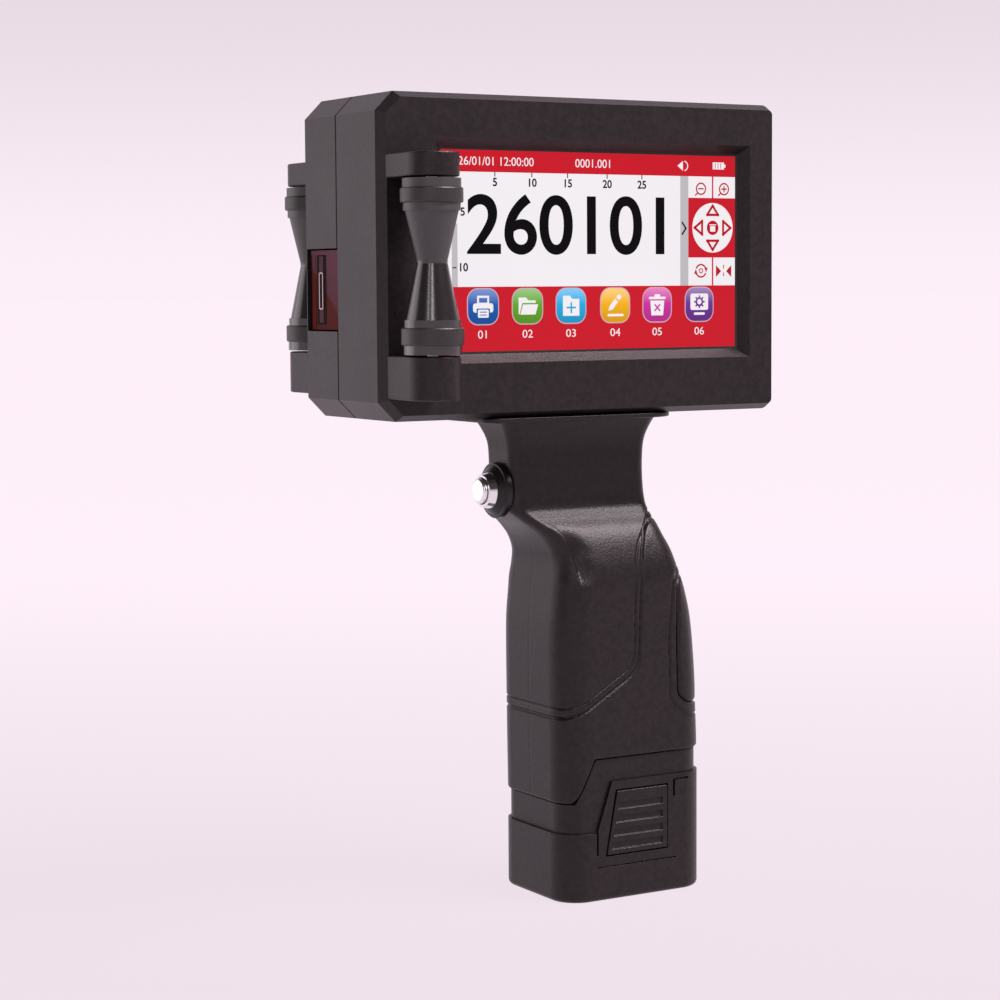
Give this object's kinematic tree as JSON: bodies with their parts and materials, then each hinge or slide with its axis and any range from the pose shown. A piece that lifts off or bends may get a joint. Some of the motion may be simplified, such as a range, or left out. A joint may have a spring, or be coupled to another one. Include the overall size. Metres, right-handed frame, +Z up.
{
  "type": "date code inkjet printer",
  "caption": "Pistol-grip handheld inkjet coder: touch-screen head, side print window, two hourglass guide rollers, push-button trigger and slide-in battery pack.",
  "frame": {"origin": "on the face that the battery pack stands on, under the middle of the head", "axes": "+Z up from the battery to the head, -Y towards the screen side, -X towards the print window"},
  "size_m": [0.13, 0.0856, 0.228],
  "materials": {
    "housing_plastic": "moulded, fine grain",
    "soft_pad": "satin overmould",
    "roller_plastic": "turned, satin gloss",
    "roller_rubber": "matte ring",
    "display_glass": "display picture under clear glass",
    "display_module": "pressed back plate",
    "circuit_board": "solder mask",
    "component_black": "moulded packages",
    "steel": "bright",
    "screw_steel": "black zinc",
    "chrome": "polished",
    "brass": "gold plated",
    "button_face": "bright cap",
    "cartridge_black": "satin",
    "flex_circuit": "amber-red film",
    "foam": "open foam",
    "cell_wrap": "shrink wrapped cell"
  },
  "bodies": {
    "housing": {"front_shell": "housing_plastic", "rear_shell": "housing_plastic", "screen_glass": "display_glass", "lcd_panel": "display_module", "main_board": "circuit_board", "board_chips": "component_black", "usb_socket": "steel", "power_switch": "component_black", "cartridge_cradle": "component_black", "contact_block": "component_black", "contact_board": "circuit_board", "contact_pins": "brass", "head_screws": "screw_steel", "board_screws": "steel", "neck_screws": "screw_steel", "door_hinge_pin": "steel", "front_upper_bracket": "housing_plastic", "front_lower_bracket": "housing_plastic", "rear_upper_bracket": "housing_plastic", "rear_lower_bracket": "housing_plastic", "roller_bushes": "brass", "bracket_screws": "steel", "bracket_covers": "housing_plastic", "encoder_sensor": "component_black", "handle_front_half": "housing_plastic", "handle_rear_half": "housing_plastic", "palm_pad": "soft_pad", "handle_screws": "screw_steel", "trigger_bushing": "component_black", "trigger_ring": "chrome", "trigger_nut": "steel", "trigger_switch": "component_black", "trigger_spring": "steel", "terminal_block": "component_black", "terminal_blades": "brass"},
    "front_roller_body": {"front_roller": "roller_plastic", "front_roller_tyres": "roller_rubber", "front_roller_axle": "steel", "encoder_disc": "steel"},
    "rear_roller_body": {"rear_roller": "roller_plastic", "rear_roller_tyres": "roller_rubber", "rear_roller_axle": "steel"},
    "trigger_body": {"trigger_button": "button_face"},
    "power_body": {"power_button": "component_black"},
    "cartridge": {"cartridge_body": "cartridge_black", "cartridge_lid": "cartridge_black", "cartridge_flex": "flex_circuit", "nozzle_strip": "steel", "ink_foam": "foam"},
    "door": {"cartridge_door": "housing_plastic"},
    "battery_pack": {"battery_case": "housing_plastic", "battery_tower": "component_black", "battery_cells": "cell_wrap", "battery_board": "circuit_board", "battery_contacts": "brass", "cell_cradle": "component_black", "latch_spring_front": "steel", "latch_spring_rear": "steel"},
    "release_front_body": {"release_button_front": "housing_plastic"},
    "release_rear_body": {"release_button_rear": "housing_plastic"}
  },
  "joints": [
    {"name": "front_roller_spin", "type": "hinge", "parent": "housing", "child": "front_roller_body", "pos_m": [-0.0562, -0.0345, 0.181], "axis": [0, 0, 1], "continuous": true},
    {"name": "rear_roller_spin", "type": "hinge", "parent": "housing", "child": "rear_roller_body", "pos_m": [-0.0562, 0.0345, 0.181], "axis": [0, 0, 1], "continuous": true},
    {"name": "trigger_press", "type": "slide", "parent": "housing", "child": "trigger_body", "axis": [1, 0, 0], "range_m": [0, 0.002], "stiffness_N_per_m": 500, "springref_m": -0.002, "deforming": ["trigger_spring"]},
    {"name": "power_press", "type": "slide", "parent": "housing", "child": "power_body", "axis": [-1, 0, 0], "range_m": [0, 0.0008], "stiffness_N_per_m": 1500, "springref_m": -0.0008},
    {"name": "cartridge_slide", "type": "slide", "parent": "housing", "child": "cartridge", "axis": [1, 0, 0], "range_m": [0, 0.017]},
    {"name": "door_swing", "type": "hinge", "parent": "housing", "child": "door", "pos_m": [0.048, 0.0211, 0.184], "axis": [0, 0, -1], "range_deg": [0, 95]},
    {"name": "battery_slide", "type": "slide", "parent": "housing", "child": "battery_pack", "axis": [0, 0, -1], "range_m": [0, 0.05]},
    {"name": "release_front_press", "type": "slide", "parent": "battery_pack", "child": "release_front_body", "axis": [0, 1, 0], "range_m": [0, 0.0025], "stiffness_N_per_m": 800, "springref_m": -0.002, "deforming": ["latch_spring_front"]},
    {"name": "release_rear_press", "type": "slide", "parent": "battery_pack", "child": "release_rear_body", "axis": [0, -1, 0], "range_m": [0, 0.0025], "stiffness_N_per_m": 800, "springref_m": -0.002, "deforming": ["latch_spring_rear"]}
  ]
}
